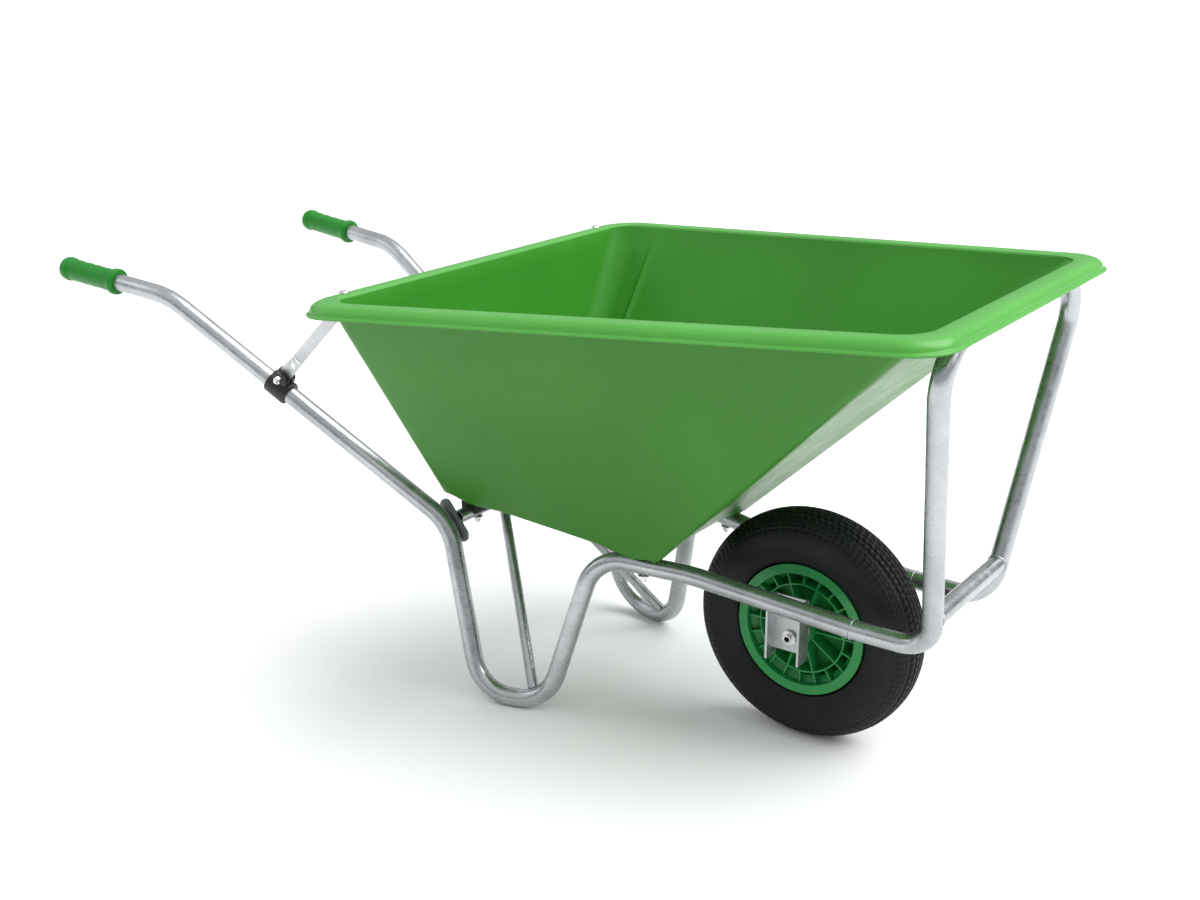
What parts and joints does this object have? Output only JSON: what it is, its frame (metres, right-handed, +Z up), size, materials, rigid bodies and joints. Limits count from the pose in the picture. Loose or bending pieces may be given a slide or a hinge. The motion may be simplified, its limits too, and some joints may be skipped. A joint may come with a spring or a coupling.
{
  "type": "wheelbarrow",
  "caption": "Single-wheel barrow with a deep moulded tub on a bent galvanised tube frame, pneumatic wheel, strapped rear rim and plastic grips.",
  "frame": {"origin": "on the ground, midway along the overall length and width", "axes": "+X forward to the wheel end, +Y to the user's left hand, +Z up"},
  "size_m": [1.8079, 0.92, 0.8062],
  "materials": {
    "galvanised_tube": "hot-dip galvanised, light grey with faint spangle and streaks",
    "galvanised_plate": "galvanised sheet, slightly brighter than the tube",
    "zinc_fasteners": "bright zinc plating",
    "tub_plastic": "green moulded polypropylene, satin, lighter on the rim",
    "rim_plastic": "dark green moulded plastic",
    "grip_plastic": "green soft plastic, glossy",
    "clamp_plastic": "black glass-filled plastic",
    "spacer_plastic": "black plastic tube",
    "bush_plastic": "off-white bearing plastic",
    "buffer_rubber": "black rubber",
    "tyre_rubber": "black rubber, matt",
    "tube_rubber": "black butyl rubber",
    "valve_brass": "brass"
  },
  "bodies": {
    "frame": {"left_side_tube": "galvanised_tube", "right_side_tube": "galvanised_tube", "front_hoop": "galvanised_tube", "nose_cross_tube": "galvanised_tube", "rear_cross_tube": "galvanised_tube", "left_rear_bracket": "galvanised_plate", "right_rear_bracket": "galvanised_plate", "left_leg_brace": "galvanised_tube", "right_leg_brace": "galvanised_tube", "left_axle_bracket": "galvanised_plate", "right_axle_bracket": "galvanised_plate", "left_grip": "grip_plastic", "right_grip": "grip_plastic", "tub": "tub_plastic", "rear_buffers": "buffer_rubber", "floor_bolts": "zinc_fasteners", "floor_washers": "zinc_fasteners", "floor_nuts": "zinc_fasteners", "left_strap": "galvanised_plate", "right_strap": "galvanised_plate", "left_clamp_upper": "clamp_plastic", "left_clamp_lower": "clamp_plastic", "right_clamp_upper": "clamp_plastic", "right_clamp_lower": "clamp_plastic", "clamp_bolts": "zinc_fasteners", "clamp_nuts": "zinc_fasteners", "strap_bolts": "zinc_fasteners", "strap_nuts": "zinc_fasteners", "axle": "zinc_fasteners", "axle_nuts": "zinc_fasteners", "axle_washers": "zinc_fasteners", "axle_spacers": "spacer_plastic"},
    "wheel": {"tyre": "tyre_rubber", "inner_tube": "tube_rubber", "wheel_rim": "rim_plastic", "wheel_bearings": "bush_plastic", "valve_stem": "valve_brass", "valve_cap": "rim_plastic"}
  },
  "joints": [
    {"name": "wheel_spin", "type": "hinge", "parent": "frame", "child": "wheel", "pos_m": [0.565, 0, 0.2], "axis": [0, 1, 0], "continuous": true}
  ]
}
